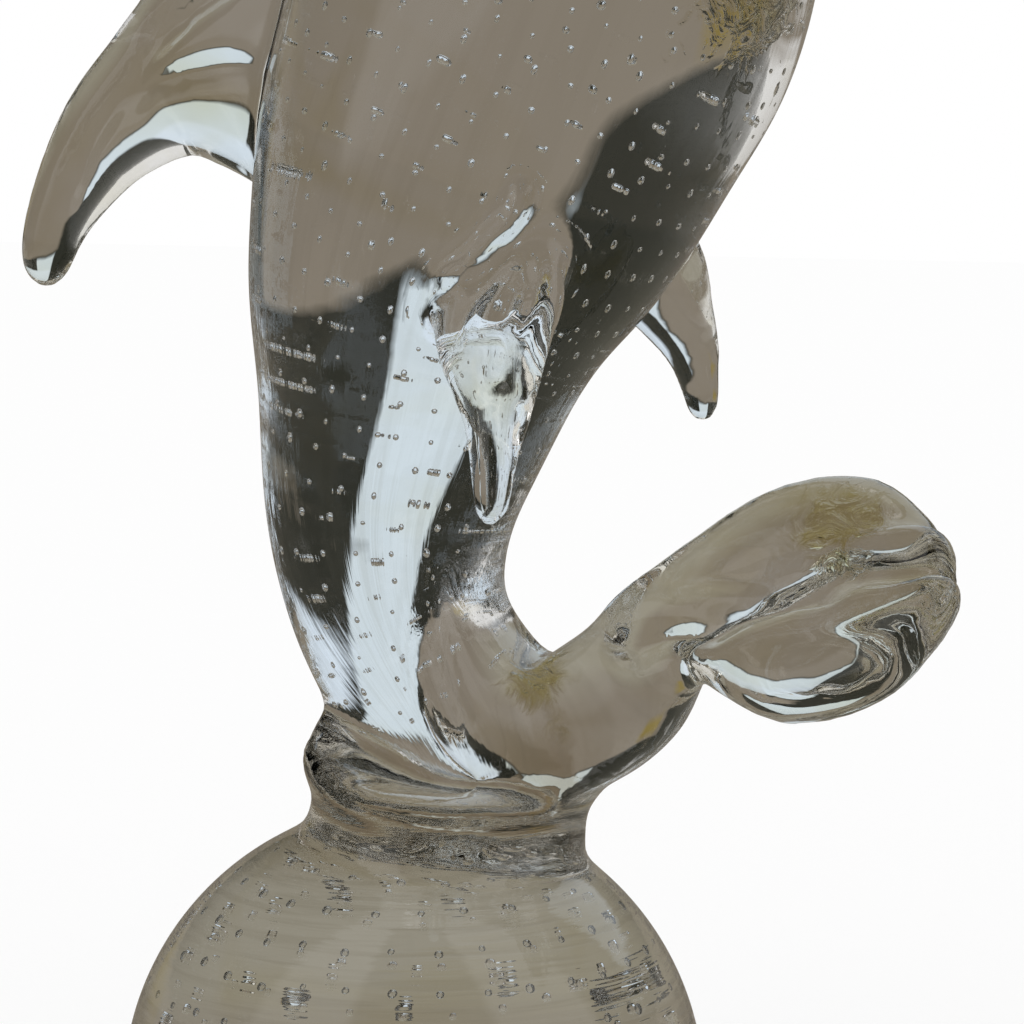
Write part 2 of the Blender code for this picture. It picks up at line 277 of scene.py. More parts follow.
BEAK = (
    (50.0, 0.0, 144.0, 11.0, 12.0),
    (56.5, 0.0, 154.0, 7.8, 9.4),
    (62.5, 0.0, 162.5, 5.4, 7.0),
    (68.0, 0.0, 169.4, 4.2, 5.4),
    (71.0, 0.0, 172.6, 3.6, 4.6),
)
DORSAL_FIN = (
    (4.0, 0.0, 113.0, 28.0, 6.0),
    (-8.0, 0.0, 110.4, 27.0, 7.4),
    (-18.6, 0.0, 106.8, 25.6, 8.2),
    (-26.5, 0.0, 103.5, 21.4, 7.8),
    (-33.5, 0.0, 100.9, 15.0, 7.0),
    (-39.0, 0.0, 98.2, 10.8, 6.0),
    (-46.8, 0.0, 92.2, 8.2, 5.4),
    (-52.6, 0.0, 84.9, 6.3, 4.7),
    (-56.4, 0.0, 78.0, 4.9, 4.2),
    (-57.4, 0.0, 73.6, 4.2, 4.0),
)
PECTORAL_FIN = (
    (25.0, -18.5, 86.5, 2.6, 3.0),
    (24.4, -20.4, 80.0, 6.8, 4.2),
    (24.0, -23.4, 73.0, 9.2, 4.8),
    (24.8, -27.6, 67.0, 8.4, 4.8),
    (26.9, -31.8, 59.8, 5.8, 4.3),
    (27.9, -34.4, 54.4, 4.2, 3.7),
    (28.2, -36.0, 49.0, 3.3, 3.2),
    (28.3, -36.6, 45.6, 3.0, 3.0),
)
# The far pectoral fin is set higher at its tip and further forwards at its root
FAR_FIN_LIFT = 7.6
FAR_FIN_FORWARD = 2.2
NEAR_LOBE = (
    (34.0, 0.5, 23.6, 6.0, 7.0),
    (43.0, -2.4, 25.9, 5.0, 6.2),
    (50.5, -5.0, 25.3, 7.0, 5.8),
    (59.0, -7.2, 24.8, 9.2, 5.4),
    (68.6, -9.2, 27.0, 8.5, 5.0),
    (76.2, -9.4, 31.4, 5.0, 4.4),
    (79.2, -8.6, 34.2, 3.4, 3.6),
)
FAR_LOBE = (
    (35.0, -0.5, 25.4, 6.4, 7.0),
    (44.2, 3.0, 32.0, 7.6, 6.0),
    (53.0, 7.0, 37.8, 8.4, 5.4),
    (61.6, 9.2, 40.2, 7.4, 5.0),
    (67.6, 9.0, 38.8, 5.2, 4.4),
    (70.0, 8.0, 38.0, 4.2, 4.0),
)
WEB = (
    (40.0, 0.0, 25.0, 6.0, 4.4),
    (52.0, 0.0, 30.0, 8.0, 4.0),
    (63.0, 0.0, 33.0, 8.2, 3.8),
    (72.0, 0.0, 35.4, 7.4, 3.6),
    (75.5, 0.0, 36.2, 6.4, 3.4),
)
FLUKE_ROLL = math.radians(55.0)
# Power of the boxier sections; 2 is an ellipse
ROUND = 2.0
FLAT_SIDED = 3.4
SIDEWAYS = Vector((0.0, 1.0, 0.0))
FORWARD = Vector((1.0, 0.0, 0.0))
UP = Vector((0.0, 0.0, 1.0))

# Air bubbles, millimetres: radius and pitch, how far out their shells lie as a share of the limb or
# the ball, how much longer than wide they may be, and how far each ring is turned from the last
BODY_BUBBLE = 0.38
BODY_BUBBLE_PITCH = 4.6
BODY_BUBBLE_SHELL = 0.80
BODY_BUBBLE_STEPS = 24
BODY_BUBBLE_TWIST = 0.11
BODY_BUBBLE_FEWEST = 6
BODY_BUBBLE_LOWEST = 14.0
BODY_BUBBLE_HIGHEST = 158.0
BODY_BUBBLE_STRETCH = 1.8
BODY_BUBBLE_SEED = 11
BALL_BUBBLE = 0.62
BALL_BUBBLE_PITCH = 6.0
BALL_BUBBLE_SHELLS = (0.88, 0.6)
BALL_BUBBLE_FLOOR = 0.12
BALL_BUBBLE_STRETCH = 1.15
BALL_BUBBLE_SEED = 23
BUBBLE_SMALLEST = 0.65
BUBBLE_LARGEST = 1.2
BUBBLE_DRIFT = 0.35


def smooth_rows(rows, steps):
    """Rows of numbers along a smooth curve through the given rows."""
    last = len(rows) - 1
    result = []
    for span in range(last):
        before = rows[max(span - 1, 0)]
        start = rows[span]
        end = rows[span + 1]
        after = rows[min(span + 2, last)]
        for step in range(steps):
            t = step / steps
            row = []
            for a, b, c, d in zip(before, start, end, after):
                bend = (2 * a - 5 * b + 4 * c - d) * t * t
                twist = (3 * b - a - 3 * c + d) * t * t * t
                row.append(0.5 * (2 * b + (c - a) * t + bend + twist))
            result.append(row)
    result.append(list(rows[last]))
    return result


def path_frames(rows, across, steps=STEPS_PER_SPAN):
    """Centre, directions and half sizes of each section along a limb."""
    path = smooth_rows(rows, steps)
    centres = [Vector(row[:3]) for row in path]
    frames = []
    for index, row in enumerate(path):
        ahead = centres[min(index + 1, len(path) - 1)]
        behind = centres[max(index - 1, 0)]
        along = (ahead - behind).normalized()
        wide = (across - along * across.dot(along)).normalized()
        deep = wide.cross(along)
        frames.append((centres[index], along, deep, wide, row[3], row[4]))
    return frames


def blunt(value, power):
    """A cosine or sine, pushed outwards to make an ellipse boxier."""
    return math.copysign(abs(value) ** (2.0 / power), value)


def add_ring(bm, centre, deep, wide, half_depth, half_width, power):
    """One oval of points round a path; an ellipse where the power is 2."""
    ring = []
    for index in range(RING_POINTS):
        angle = 2 * math.pi * index / RING_POINTS
        point = centre + deep * (half_depth * blunt(math.cos(angle), power))
        point += wide * (half_width * blunt(math.sin(angle), power))
        ring.append(bm.verts.new(point * MM))
    return ring


def bridge(bm, first, second):
    """Faces between two rings of equal count."""
    count = len(first)
    for index in range(count):
        following = (index + 1) % count
        bm.faces.new((first[index], first[following], second[following], second[index]))


def close_end(bm, ring, pole, forward):
    """A fan of faces from a ring to its pole."""
    count = len(ring)
    for index in range(count):
        following = (index + 1) % count
        if forward:
            bm.faces.new((ring[index], ring[following], pole))
        else:
            bm.faces.new((ring[following], ring[index], pole))


def cap_rings(bm, section, outwards, power):
    """Rings of a round end, from the last full section outwards, and its pole."""
    centre, along, deep, wide, half_depth, half_width = section
    reach = min(half_depth, half_width)
    rings = []
    for step in range(1, CAP_RINGS + 1):
        turn = 0.5 * math.pi * step / (CAP_RINGS + 1)
        middle = centre + along * (outwards * reach * math.sin(turn))
        size = math.cos(turn)
        rings.append(add_ring(bm, middle, deep, wide, half_depth * size, half_width * size, power))
    pole = bm.verts.new((centre + along * (outwards * reach)) * MM)
    return rings, pole


def loft(bm, rows, across, power=ROUND):
    """A closed limb of oval sections along a path, with round ends."""
    frames = path_frames(rows, across)
    start_rings, start_pole = cap_rings(bm, frames[0], -1.0, power)
    rings = start_rings[::-1]
    for centre, along, deep, wide, half_depth, half_width in frames:
        rings.append(add_ring(bm, centre, deep, wide, half_depth, half_width, power))
    end_rings, end_pole = cap_rings(bm, frames[-1], 1.0, power)
    rings += end_rings
    for first, second in zip(rings, rings[1:]):
        bridge(bm, first, second)
    close_end(bm, rings[0], start_pole, False)
    close_end(bm, rings[-1], end_pole, True)


def mirrored_fin(rows):
    """The pectoral fin's rows on the other side of the body."""
    root_height = rows[0][2]
    drop = root_height - rows[-1][2]
    result = []
    for x, y, z, chord, thickness in rows:
        share = (root_height - z) / drop
        forwards = FAR_FIN_FORWARD * (1.0 - share) ** 2
        result.append((x + forwards, -y, z + FAR_FIN_LIFT * share, chord, thickness))
    return result


def collar_point(angle, height, share, ragged):
    """One point of the collar's wavy skin."""
    wave = 0.0
    for count, strength, phase in COLLAR_WAVES:
        wave += COLLAR_WAVE * ragged * strength * math.sin(count * angle + phase)
    radius = COLLAR_RADIUS * share + wave
    behind = max(0.0, -math.cos(angle)) ** 2
    lift = ragged * COLLAR_TONGUE * behind + ragged * COLLAR_WAVE_LIFT * wave
    x = COLLAR_SHIFT + radius * math.cos(angle)
    y = radius * math.sin(angle)
    return Vector((x, y, CROWN + height + lift)) * MM


def add_collar(bm):
    """A ring of folded glass round the crown of the ball, higher behind the dolphin's back."""
    rings = []
    for below, above, share, ragged in smooth_rows(COLLAR_PROFILE, COLLAR_PROFILE_STEPS):
        height = COLLAR_HEIGHT * above - COLLAR_DEPTH * below
        ring = []
        for index in range(COLLAR_COLUMNS):
            angle = 2 * math.pi * index / COLLAR_COLUMNS
            ring.append(bm.verts.new(collar_point(angle, height, share, ragged)))
        rings.append(ring)
    for first, second in zip(rings, rings[1:]):
        bridge(bm, first, second)
    floor_pole = bm.verts.new(Vector((COLLAR_SHIFT, 0.0, CROWN - COLLAR_DEPTH)) * MM)
    top_pole = bm.verts.new(Vector((COLLAR_SHIFT, 0.0, CROWN + COLLAR_HEIGHT * COLLAR_HOLLOW)) * MM)
    close_end(bm, rings[0], floor_pole, False)
    close_end(bm, rings[-1], top_pole, True)


def add_ball(bm):
    """The ball with its flat foot."""
    made = bmesh.ops.create_uvsphere(
        bm, u_segments=BALL_COLUMNS, v_segments=BALL_ROWS, radius=BALL_RADIUS * MM
    )
    for vert in made["verts"]:
        vert.co.z = max(vert.co.z + BALL_HEIGHT * MM, 0.0)


def figure_mesh():
    """Every limb, the collar and the ball in one mesh, overlapping where they are fused."""
    bm = bmesh.new()
    lobe_side = Vector((0.0, math.sin(FLUKE_ROLL), -math.cos(FLUKE_ROLL)))
    loft(bm, BODY, SIDEWAYS)
    loft(bm, STALK, SIDEWAYS, FLAT_SIDED)
    loft(bm, BEAK, SIDEWAYS)
    loft(bm, DORSAL_FIN, SIDEWAYS)
    for fin in (PECTORAL_FIN, mirrored_fin(PECTORAL_FIN)):
        turned = [(x, y, z, thickness, chord) for x, y, z, chord, thickness in fin]
        loft(bm, turned, FORWARD)
    for lobe in (NEAR_LOBE, FAR_LOBE, WEB):
        loft(bm, lobe, lobe_side, FLAT_SIDED)
    bmesh.ops.translate(bm, verts=bm.verts, vec=(0.0, 0.0, CROWN * MM))
    add_collar(bm)
    add_ball(bm)
    bmesh.ops.recalc_face_normals(bm, faces=bm.faces)
    mesh = bpy.data.meshes.new("glass_form")
    bm.to_mesh(mesh)
    bm.free()
    return mesh


def link(name, mesh):
    """A new object in the scene."""
    piece = bpy.data.objects.new(name, mesh)
    bpy.context.scene.collection.objects.link(piece)
    return piece


def evaluated_mesh(piece):
    """The piece's mesh with its modifiers applied."""
    depsgraph = bpy.context.evaluated_depsgraph_get()
    return bpy.data.meshes.new_from_object(piece.evaluated_get(depsgraph))


def drop_specks(mesh):
    """Every part of the mesh but the largest taken away."""
    bm = bmesh.new()
    bm.from_mesh(mesh)
    left = set(bm.verts)
    parts = []
    while left:
        part = {left.pop()}
        frontier = list(part)
        while frontier:
            vert = frontier.pop()
            for edge in vert.link_edges:
                other = edge.other_vert(vert)
                if other not in part:
                    part.add(other)
                    frontier.append(other)
        left -= part
        parts.append(part)
    largest = max(parts, key=len)
    stray = [vert for vert in bm.verts if vert not in largest]
    bmesh.ops.delete(bm, geom=stray, context="VERTS")
    bm.to_mesh(mesh)
    bm.free()


def read_points(mesh):
    """A mesh's points, in millimetres."""
    points = np.empty(len(mesh.vertices) * 3)
    mesh.vertices.foreach_get("co", points)
    return points.reshape(-1, 3) / MM


def read_normals(mesh):
    """The normals at a mesh's points."""
    normals = np.empty(len(mesh.vertices) * 3)
    mesh.vertex_normals.foreach_get("vector", normals)
    return normals.reshape(-1, 3)


def write_points(mesh, points):
    """A mesh's points moved, given in millimetres."""
    mesh.vertices.foreach_set("co", (points * MM).ravel())
    mesh.update()


def relax(points, edges, counts, share, steps):
    """Points moved towards the middle of their neighbours, each by its own share."""
    first, second = edges[:, 0], edges[:, 1]
    for _ in range(steps):
        total = np.empty_like(points)
        for axis in range(3):
            total[:, axis] = np.bincount(first, points[second, axis], len(points))
            total[:, axis] += np.bincount(second, points[first, axis], len(points))
        points = points + share * (total / counts - points)
    return points


def place_weight(points, place, reach):
    """1 near a place, given from the ball's crown, falling to 0 at its reach."""
    gap = np.linalg.norm(points - np.array(place) - CROWN_LIFT, axis=1)
    return np.clip(PLACE_FULLNESS - PLACE_FULLNESS * gap / reach, 0.0, 1.0)


def crease(points, normals, half_width, depth, path):
    """Points near a line pressed in along their normals."""
    rows = np.array(smooth_rows([list(row) for row in path], CREASE_STEPS)) + CROWN_LIFT
    gaps = np.full(len(points), np.inf)
    ends = np.zeros(len(points))
    for index, row in enumerate(rows):
        gap = np.linalg.norm(points - row, axis=1)
        nearer = gap < gaps
        gaps = np.where(nearer, gap, gaps)
        ends = np.where(nearer, index / (len(rows) - 1), ends)
    fade = np.clip(np.minimum(ends, 1.0 - ends) * CREASE_FADE, 0.0, 1.0)
    return points - normals * (depth * fade * np.exp(-(gaps / half_width) ** 2))[:, None]


def drawn_to_surface(points, normals, path):
    """The points of a line moved onto the surface in front of them that faces the camera."""
    toward = np.array([math.sin(CAMERA_AZIMUTH), -math.cos(CAMERA_AZIMUTH), 0.0])
    front = points[normals @ toward > CREASE_FACING]
    toward[2] = SIGHT_RISE
    toward /= np.linalg.norm(toward)
    moved = []
    for row in path:
        spot = np.array(row) + CROWN_LIFT
        offset = front - spot
        along = offset @ toward
        off_axis = np.linalg.norm(offset - along[:, None] * toward, axis=1)
        near = off_axis < CREASE_REACH
        if near.any():
            spot = spot + toward * along[near].max()
        moved.append(tuple(spot - CROWN_LIFT))
    return moved


def make_figure():
    """The glass of the dolphin, its collar and its ball, melted into one body."""
    piece = link("glass_dolphin_on_ball", figure_mesh())
    remesh = piece.modifiers.new("fuse", "REMESH")
    remesh.mode = "VOXEL"
    remesh.voxel_size = FUSE_VOXEL * MM
    mesh = evaluated_mesh(piece)
    drop_specks(mesh)
    piece.modifiers.clear()
    piece.data = mesh
    mesh.name = "glass_dolphin_on_ball"
    points = read_points(mesh)
    edges = np.empty(len(mesh.edges) * 2, dtype=np.int32)
    mesh.edges.foreach_get("vertices", edges)
    edges = edges.reshape(-1, 2)
    counts = np.bincount(edges.ravel(), minlength=len(points))[:, None]
    crisp = np.zeros(len(points))
    for x, y, z, reach in CRISP_PLACES:
        crisp = np.maximum(crisp, place_weight(points, (x, y, z), reach))
    points = relax(points, edges, counts, RELAX_SHARE, CRISP_SMOOTHING)
    share = RELAX_SHARE * (1.0 - crisp)[:, None]
    points = relax(points, edges, counts, share, FUSE_SMOOTHING - CRISP_SMOOTHING)
    write_points(mesh, points)
    for half_width, depth, path in CREASES:
        normals = read_normals(mesh)
        line = drawn_to_surface(points, normals, path)
        points = crease(points, normals, half_width, depth, line)
        write_points(mesh, points)
    points = relax(points, edges, counts, RELAX_SHARE, LAST_SMOOTHING)
    low, high = (np.array(corner) / MM for corner in cad_box)
    write_points(mesh, np.clip(points, low, high))
    mesh.shade_smooth()
    return piece


def surface_rings(rows, across, shrink, pitch, first, last):
    """Places of bubbles in staggered rings just under a limb's skin."""
    frames = path_frames(rows, across, BODY_BUBBLE_STEPS)
    places = []
    travelled = 0.0
    following = pitch * 0.5
    ring_number = 0
    for before, section in zip(frames, frames[1:]):
        travelled += (section[0] - before[0]).length
        if travelled < following:
            continue
        following += pitch
        ring_number += 1
        centre, along, deep, wide, half_depth, half_width = section
        if not first < centre.z < last:
            continue
        girth = 2 * math.pi * math.sqrt(0.5 * (half_depth ** 2 + half_width ** 2)) * shrink
        count = max(BODY_BUBBLE_FEWEST, round(girth / pitch))
        for index in range(count):
            shift = 0.5 * (ring_number % 2) + BODY_BUBBLE_TWIST * ring_number
            angle = 2 * math.pi * (index + shift) / count
            point = centre + deep * (half_depth * shrink * math.cos(angle))
            point += wide * (half_width * shrink * math.sin(angle))
            places.append((point, along))
    return places


def ball_rings(radius, pitch):
    """Places of bubbles in staggered rings on a shell inside the ball."""
    centre = Vector((0.0, 0.0, BALL_HEIGHT))
    places = []
    levels = round(math.pi * radius / pitch)
    for level in range(1, levels):
        polar = math.pi * level / levels
        count = max(1, round(2 * math.pi * radius * math.sin(polar) / pitch))
        for index in range(count):
            angle = 2 * math.pi * (index + 0.5 * (level % 2)) / count
            out = Vector((
                math.sin(polar) * math.cos(angle),
                math.sin(polar) * math.sin(angle),
                math.cos(polar),
            ))
            place = centre + out * radius
            if place.z > radius * BALL_BUBBLE_FLOOR:
                places.append((place, out.orthogonal().normalized()))
    return places


def make_bubbles(name, places, radius, stretch, seed, material):
    """Air bubbles joined into one piece, with their skins facing the air inside them."""
    picker = np.random.default_rng(seed)
    shape = bmesh.new()
    bmesh.ops.create_icosphere(shape, subdivisions=2, radius=1.0)
    corners = np.array([vert.co[:] for vert in shape.verts])
    triangles = np.array([[vert.index for vert in face.verts] for face in shape.faces])[:, ::-1]
    shape.free()
    points = []
    faces = []
    for place, along in places:
        size = radius * picker.uniform(BUBBLE_SMALLEST, BUBBLE_LARGEST)
        drift = Vector(picker.normal(0.0, BUBBLE_DRIFT, 3)) * min(1.0, radius)
        longer = picker.uniform(1.0, stretch)
        turn = along.to_track_quat("Z", "Y").to_matrix()
        shaped = corners * np.array([size, size, size * longer])
        placed = shaped @ np.array(turn).T + np.array((place + drift)[:])
        faces.append(triangles + len(points) * len(corners))
        points.append(placed * MM)
    mesh = bpy.data.meshes.new(name)
    mesh.from_pydata(np.concatenate(points).tolist(), [], np.concatenate(faces).tolist())
    mesh.shade_smooth()
    piece = link(name, mesh)
    piece.data.materials.append(material)
    return piece


def make_camera():
    """The camera at the photograph's viewing angle."""
    data = bpy.data.cameras.new("camera")
    data.lens = CAMERA_LENS
    data.sensor_width = CAMERA_SENSOR
    data.clip_start = CAMERA_CLIP_START
    camera = bpy.data.objects.new("camera", data)
    bpy.context.scene.collection.objects.link(camera)
    look = Vector((
        -math.sin(CAMERA_AZIMUTH) * math.cos(CAMERA_ELEVATION),
        math.cos(CAMERA_AZIMUTH) * math.cos(CAMERA_ELEVATION),
        -math.sin(CAMERA_ELEVATION),
    ))
    camera.location = CAMERA_TARGET - look * CAMERA_DISTANCE
    camera.rotation_euler = look.to_track_quat("-Z", "Y").to_euler()
    bpy.context.scene.camera = camera


def new_material(name):
    """A material with its node tree, links and shader."""
    material = bpy.data.materials.new(name)
    material.use_nodes = True
    tree = material.node_tree
    return material, tree, tree.nodes["Principled BSDF"]


def add_node(tree, kind, inputs=None, **settings):
    """A node with its plain settings and socket values."""
    node = tree.nodes.new(kind)
    for key, value in settings.items():
        setattr(node, key, value)
    for socket, number in (inputs or {}).items():
        node.inputs[socket].default_value = number
    return node


def math_node(tree, operation, first, second=None, clamp=False):
    """The result of one sum; each term is a number or another node's output."""
    node = add_node(tree, "ShaderNodeMath", operation=operation, use_clamp=clamp)
    for socket, value in enumerate((first, second)):
        if isinstance(value, (int, float)):
            node.inputs[socket].default_value = value
        elif value is not None:
            tree.links.new(value, node.inputs[socket])
    return node.outputs[0]


def laid_over(tree, below, colour, share):
    """A colour laid over another one where share is 1."""
    mix = add_node(tree, "ShaderNodeMix", data_type="RGBA")
    tree.links.new(share, mix.inputs["Factor"])
    tree.links.new(below, mix.inputs["A"])
    mix.inputs["B"].default_value = colour
    return mix.outputs["Result"]


def noise(tree, vector, inputs):
    """Noise in the given coordinates, from 0 to 1."""
    node = add_node(tree, "ShaderNodeTexNoise", inputs)
    tree.links.new(vector, node.inputs["Vector"])
    return node.outputs["Fac"]


def stored(tree, name):
    """A value kept on the mesh's points."""
    return add_node(tree, "ShaderNodeAttribute", attribute_name=name)


def make_glass(name):
    """Clear, faintly smoky glass with fine drawn lines along the body and round the ball."""
    material, tree, shader = new_material(name)
    link_up = tree.links.new
    shader.inputs["Roughness"].default_value = 0.0
    shader.inputs["IOR"].default_value = GLASS_INDEX
    shader.inputs["Transmission Weight"].default_value = 1.0
    place = add_node(tree, "ShaderNodeTexCoord").outputs["Object"]
    # Faint smoke, with an olive swirl here and there
    swirl = add_node(tree, "ShaderNodeValToRGB")
    clear, olive = swirl.color_ramp.elements
    clear.position, clear.color = OLIVE_START, GLASS_CLEAR
    olive.position, olive.color = OLIVE_FULL, GLASS_OLIVE
    link_up(noise(tree, place, SWIRL_NOISE), swirl.inputs["Fac"])
    # Amber: broken up by a crumpled noise inside its places
    crumple = noise(tree, place, CRUMPLE_NOISE)
    raised = math_node(tree, "ADD", stored(tree, "gold").outputs["Fac"], crumple)
    over = math_node(tree, "SUBTRACT", raised, GOLD_START)
    amber = math_node(tree, "MULTIPLY", over, GOLD_SHARPNESS, clamp=True)
    tint = laid_over(tree, swirl.outputs["Color"], GLASS_GOLD, amber)
    # Brown smoke in the folds of the collar
    tint = laid_over(tree, tint, GLASS_BROWN, stored(tree, "folds").outputs["Fac"])
    # Fine lines: noise drawn out along the stored flow of the glass, as smoke and as a bump
    lines = noise(tree, stored(tree, "flow").outputs["Vector"], LINE_NOISE)
    drawn = stored(tree, "lines").outputs["Fac"]
    over = math_node(tree, "SUBTRACT", lines, STREAK_START)
    smoky = math_node(tree, "MULTIPLY", over, STREAK_SHARPNESS, clamp=True)
    tint = laid_over(tree, tint, GLASS_STREAK, math_node(tree, "MULTIPLY", smoky, drawn))
    link_up(tint, shader.inputs["Base Color"])
    bump = add_node(tree, "ShaderNodeBump", {"Distance": LINE_DEPTH})
    link_up(drawn, bump.inputs["Strength"])
    link_up(lines, bump.inputs["Height"])
    # Crumples in the amber places
    wrinkle = add_node(tree, "ShaderNodeBump", {"Distance": CRUMPLE_DEPTH})
    link_up(math_node(tree, "MULTIPLY", amber, CRUMPLE_STRENGTH), wrinkle.inputs["Strength"])
    link_up(crumple, wrinkle.inputs["Height"])
    link_up(bump.outputs["Normal"], wrinkle.inputs["Normal"])
    link_up(wrinkle.outputs["Normal"], shader.inputs["Normal"])
    return material


def make_air_skin(name):
    """The skin of an air bubble, seen from inside the glass."""
    material, tree, shader = new_material(name)
    shader.inputs["Base Color"].default_value = (1.0, 1.0, 1.0, 1.0)
    shader.inputs["Roughness"].default_value = 0.0
    shader.inputs["IOR"].default_value = GLASS_INDEX
    shader.inputs["Transmission Weight"].default_value = 1.0
    place = add_node(tree, "ShaderNodeTexCoord").outputs["Object"]
    bump = add_node(tree, "ShaderNodeBump", AIR_BUMP)
    tree.links.new(noise(tree, place, AIR_NOISE), bump.inputs["Height"])
    tree.links.new(bump.outputs["Normal"], shader.inputs["Normal"])
    return material


def store_value(mesh, name, values):
    """One number kept on each point of the mesh."""
    mesh.attributes.new(name, "FLOAT", "POINT").data.foreach_set("value", values)


def body_flow(points):
    """Flow coordinates round and along the body: fast across it, slow along it."""
    frames = path_frames(BODY, SIDEWAYS)
    centres = np.array([section[0][:] for section in frames]) + CROWN_LIFT
    deeps = np.array([section[2][:] for section in frames])
    spans = np.linalg.norm(np.diff(centres, axis=0), axis=1)
    lengths = np.concatenate([[0.0], np.cumsum(spans)])
    nearest = ((points[:, None, :] - centres[None, :, :]) ** 2).sum(axis=2).argmin(axis=1)
    out = points - centres[nearest]
    angle = np.arctan2(out[:, 1], (out * deeps[nearest]).sum(axis=1))
    return np.stack([
        FLOW_ROUND * np.cos(angle), FLOW_ROUND * np.sin(angle), FLOW_ALONG * lengths[nearest]
    ], axis=1)


def ball_flow(points):
    """Flow coordinates round and down the ball: slow round it, fast down it."""
    out = points - np.array([0.0, 0.0, BALL_HEIGHT])
    reach = np.linalg.norm(out, axis=1)
    polar = np.arccos(np.clip(out[:, 2] / np.maximum(reach, 1.0), -1.0, 1.0))
    turn = np.arctan2(out[:, 1], out[:, 0])
    return np.stack([
        FLOW_BALL_ROUND * np.cos(turn), FLOW_BALL_ROUND * np.sin(turn), FLOW_BALL_DOWN * polar
    ], axis=1)


def store_looks(piece):
    """The glass's flow, amber, smoke and strength of lines, kept on the points of its mesh."""
    mesh = piece.data
    points = read_points(mesh)
    above = points[:, 2] - CROWN
    start, end = FLOW_CHANGE
    share = np.clip((above - start) / (end - start), 0.0, 1.0)[:, None]
    flow = body_flow(points) * share + ball_flow(points) * (1.0 - share)
    mesh.attributes.new("flow", "FLOAT_VECTOR", "POINT").data.foreach_set("vector", flow.ravel())
    gold = np.zeros(len(points))
    for x, y, z, reach, strength in GOLD_PLACES:
        gap = np.linalg.norm(points - np.array([x, y, z + CROWN]), axis=1)
        gold = np.maximum(gold, strength * np.exp(-(gap / reach) ** 2))
    store_value(mesh, "gold", gold)
    off_axis = np.hypot(points[:, 0] - COLLAR_SHIFT, points[:, 1])
    outside = np.clip((off_axis - SMOKE_INSIDE) / SMOKE_EDGE, 0.0, 1.0)
    smoke = outside * np.interp(above, SMOKE_HEIGHTS, SMOKE_STRENGTHS)
    smoke[points[:, 0] > COLLAR_SHIFT + COLLAR_RADIUS + SMOKE_PAST] = 0.0
    store_value(mesh, "folds", smoke)
    store_value(mesh, "lines", np.interp(above, LINE_HEIGHTS, LINE_STRENGTHS))


def direction(azimuth, elevation):
    """A direction in the studio, by degrees to the right of the photograph's view and up."""
    azimuth = math.radians(azimuth)
    elevation = math.radians(elevation)
    ahead = Vector((-math.sin(CAMERA_AZIMUTH), math.cos(CAMERA_AZIMUTH), 0.0))
    right = Vector((math.cos(CAMERA_AZIMUTH), math.sin(CAMERA_AZIMUTH), 0.0))
    level = ahead * math.cos(azimuth) + right * math.sin(azimuth)
    return level * math.cos(elevation) + UP * math.sin(elevation)


def direction_part(tree, place, axis):
    """How far each direction of the studio points along an axis."""
    node = add_node(tree, "ShaderNodeVectorMath", operation="DOT_PRODUCT")
    tree.links.new(place, node.inputs[0])
    node.inputs[1].default_value = axis
    return node.outputs["Value"]


def soft_step(tree, value, start, width):
    """0 below start, 1 above it, soft over width."""
    moved = math_node(tree, "SUBTRACT", value, start)
    return math_node(tree, "DIVIDE", math_node(tree, "ADD", moved, width * 0.5), width, clamp=True)


def card_share(tree, azimuth, elevation, bounds):
    """How much of a panel shows in each direction."""
    low_azimuth, high_azimuth, low_elevation, high_elevation, soft = bounds
    left = soft_step(tree, azimuth, low_azimuth, soft)
    over_right = math_node(tree, "SUBTRACT", 1.0, soft_step(tree, azimuth, high_azimuth, soft))
    bottom = soft_step(tree, elevation, low_elevation, soft)
    over_top = math_node(tree, "SUBTRACT", 1.0, soft_step(tree, elevation, high_elevation, soft))
    sides = math_node(tree, "MULTIPLY", left, over_right)
    ends = math_node(tree, "MULTIPLY", bottom, over_top)
    return math_node(tree, "MULTIPLY", sides, ends)


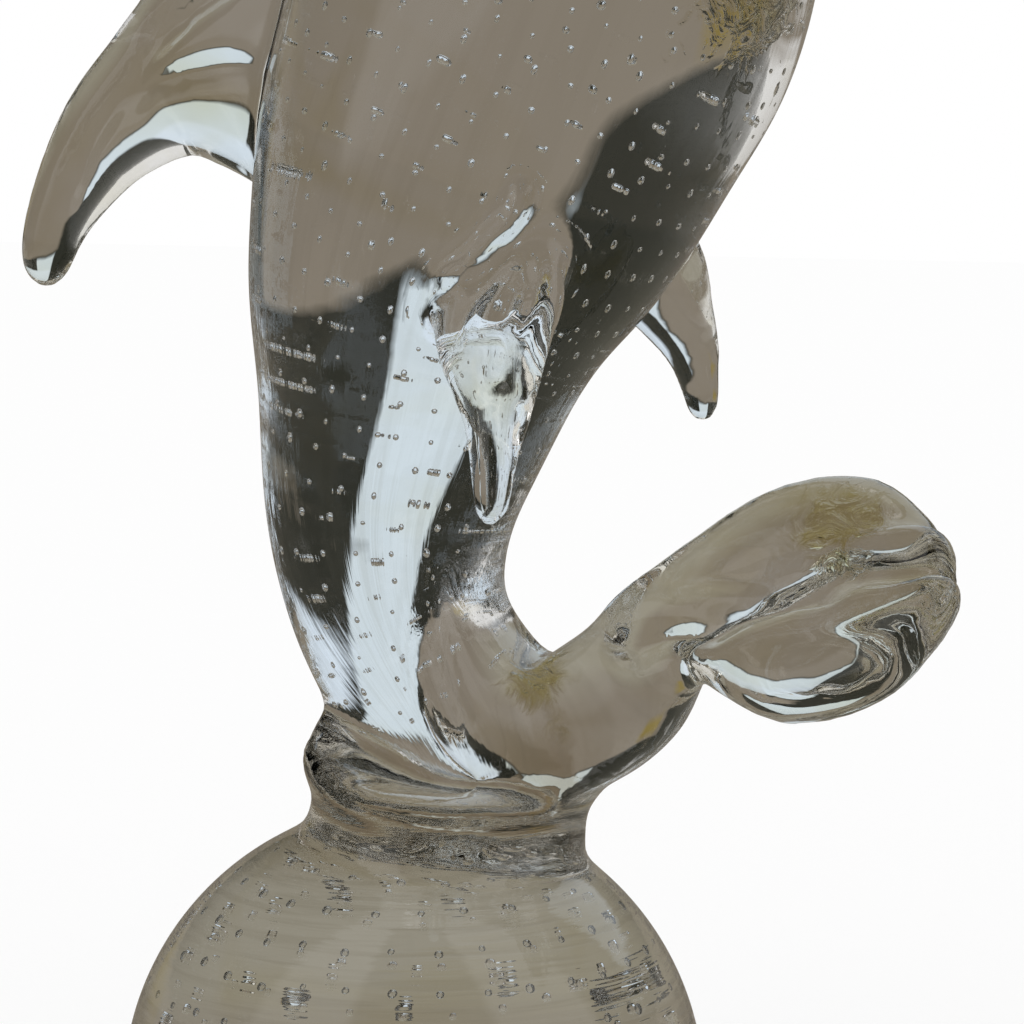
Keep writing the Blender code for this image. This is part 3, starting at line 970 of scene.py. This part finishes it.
def make_studio():
    """Soft studio: a grey-brown backdrop, a dark room over it, and panels of light.

    The glass sees the panels. The camera and the floor see plain white paper.
    """
    world = bpy.data.worlds.new("studio")
    bpy.context.scene.world = world
    world.use_nodes = True
    world.cycles.sampling_method = "NONE"
    tree = world.node_tree
    tree.nodes.clear()
    link_up = tree.links.new
    place = add_node(tree, "ShaderNodeTexCoord").outputs["Generated"]
    forward_part = direction_part(tree, place, direction(0.0, 0.0))
    right_part = direction_part(tree, place, direction(90.0, 0.0))
    up_part = direction_part(tree, place, UP)
    azimuth = math_node(tree, "MULTIPLY", math_node(tree, "ARCTAN2", right_part, forward_part), DEGREES)
    elevation = math_node(tree, "MULTIPLY", math_node(tree, "ARCSINE", up_part), DEGREES)
    backdrop = add_node(tree, "ShaderNodeRGB")
    backdrop.outputs[0].default_value = BACKDROP
    colour = backdrop.outputs[0]
    for tint, bounds in STUDIO_CARDS:
        colour = laid_over(tree, colour, tint, card_share(tree, azimuth, elevation, bounds))
    studio = add_node(tree, "ShaderNodeBackground")
    link_up(colour, studio.inputs["Color"])
    paper = add_node(tree, "ShaderNodeBackground", {"Color": PAPER_WHITE, "Strength": 1.0})
    rays = add_node(tree, "ShaderNodeLightPath").outputs
    plain = math_node(tree, "MAXIMUM", rays["Is Camera Ray"], rays["Is Diffuse Ray"])
    choose = add_node(tree, "ShaderNodeMixShader")
    link_up(plain, choose.inputs["Fac"])
    link_up(studio.outputs["Background"], choose.inputs[1])
    link_up(paper.outputs["Background"], choose.inputs[2])
    output = add_node(tree, "ShaderNodeOutputWorld")
    link_up(choose.outputs["Shader"], output.inputs["Surface"])


def make_floor():
    """A pale floor, which the glass doesn't pick up."""
    bm = bmesh.new()
    bmesh.ops.create_grid(bm, x_segments=1, y_segments=1, size=FLOOR_REACH)
    mesh = bpy.data.meshes.new("floor")
    bm.to_mesh(mesh)
    bm.free()
    floor = link("floor", mesh)
    material, _, shader = new_material("pale_floor")
    shader.inputs["Base Color"].default_value = FLOOR_COLOUR
    shader.inputs["Roughness"].default_value = 1.0
    shader.inputs["Specular IOR Level"].default_value = 0.0
    floor.data.materials.append(material)
    floor.visible_transmission = False
    floor.visible_glossy = False


make_camera()
make_studio()
make_floor()
scene = bpy.context.scene
scene.view_settings.view_transform = "Standard"
scene.cycles.max_bounces = MAX_BOUNCES
scene.cycles.transmission_bounces = MAX_BOUNCES
scene.cycles.glossy_bounces = GLOSSY_BOUNCES

figure = make_figure()
store_looks(figure)
figure.data.materials.append(make_glass("fused_glass"))
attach(figure, "root")
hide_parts("dolphin", "ball_base")

air = make_air_skin("air_bubble_skin")
body_rings = surface_rings(
    BODY, SIDEWAYS, BODY_BUBBLE_SHELL, BODY_BUBBLE_PITCH, BODY_BUBBLE_LOWEST, BODY_BUBBLE_HIGHEST
)
body_places = [(place + UP * CROWN, along) for place, along in body_rings]
ball_places = []
for share in BALL_BUBBLE_SHELLS:
    ball_places += ball_rings(BALL_RADIUS * share, BALL_BUBBLE_PITCH)
for name, places, radius, stretch, seed, slot in (
    ("body_bubbles", body_places, BODY_BUBBLE, BODY_BUBBLE_STRETCH, BODY_BUBBLE_SEED, "dolphin_glass"),
    ("ball_bubbles", ball_places, BALL_BUBBLE, BALL_BUBBLE_STRETCH, BALL_BUBBLE_SEED, "base_glass"),
):
    bubbles = make_bubbles(name, places, radius, stretch, seed, air)
    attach(bubbles, "root")
